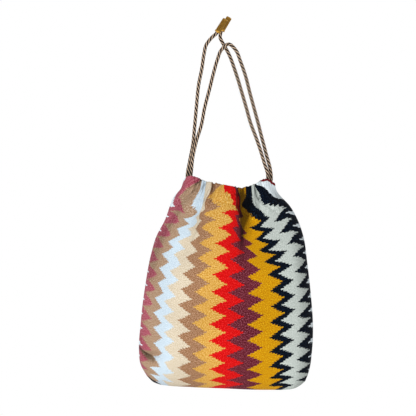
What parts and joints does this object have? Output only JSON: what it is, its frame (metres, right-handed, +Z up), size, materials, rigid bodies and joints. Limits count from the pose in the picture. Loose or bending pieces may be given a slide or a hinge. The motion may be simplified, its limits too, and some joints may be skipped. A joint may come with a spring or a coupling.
{
  "type": "crossbody bag",
  "caption": "Drawstring pouch of thick woven cloth, gathered at the mouth by a twisted cord that is also its shoulder strap, ends capped.",
  "frame": {"origin": "the point that the strap hangs from, just under the cord's loop", "axes": "+X across the bag to the right as seen from its front, +Y into the bag from its front, +Z up"},
  "size_m": [0.2319, 0.0972, 0.4993],
  "materials": {
    "woven_cloth": "thick woven cloth with a short furry pile, in bands of stepped zigzag",
    "lining_cloth": "plain dark red lining cloth",
    "twisted_cord": "two-tone twisted cord, dark brown and beige",
    "brass": "polished"
  },
  "bodies": {
    "root": {"front_panel": "woven_cloth", "back_panel": "woven_cloth", "lining_front": "lining_cloth", "lining_back": "lining_cloth", "drawcord": "twisted_cord", "cord_cap_front": "brass", "cord_cap_rear": "brass"}
  },
  "joints": []
}
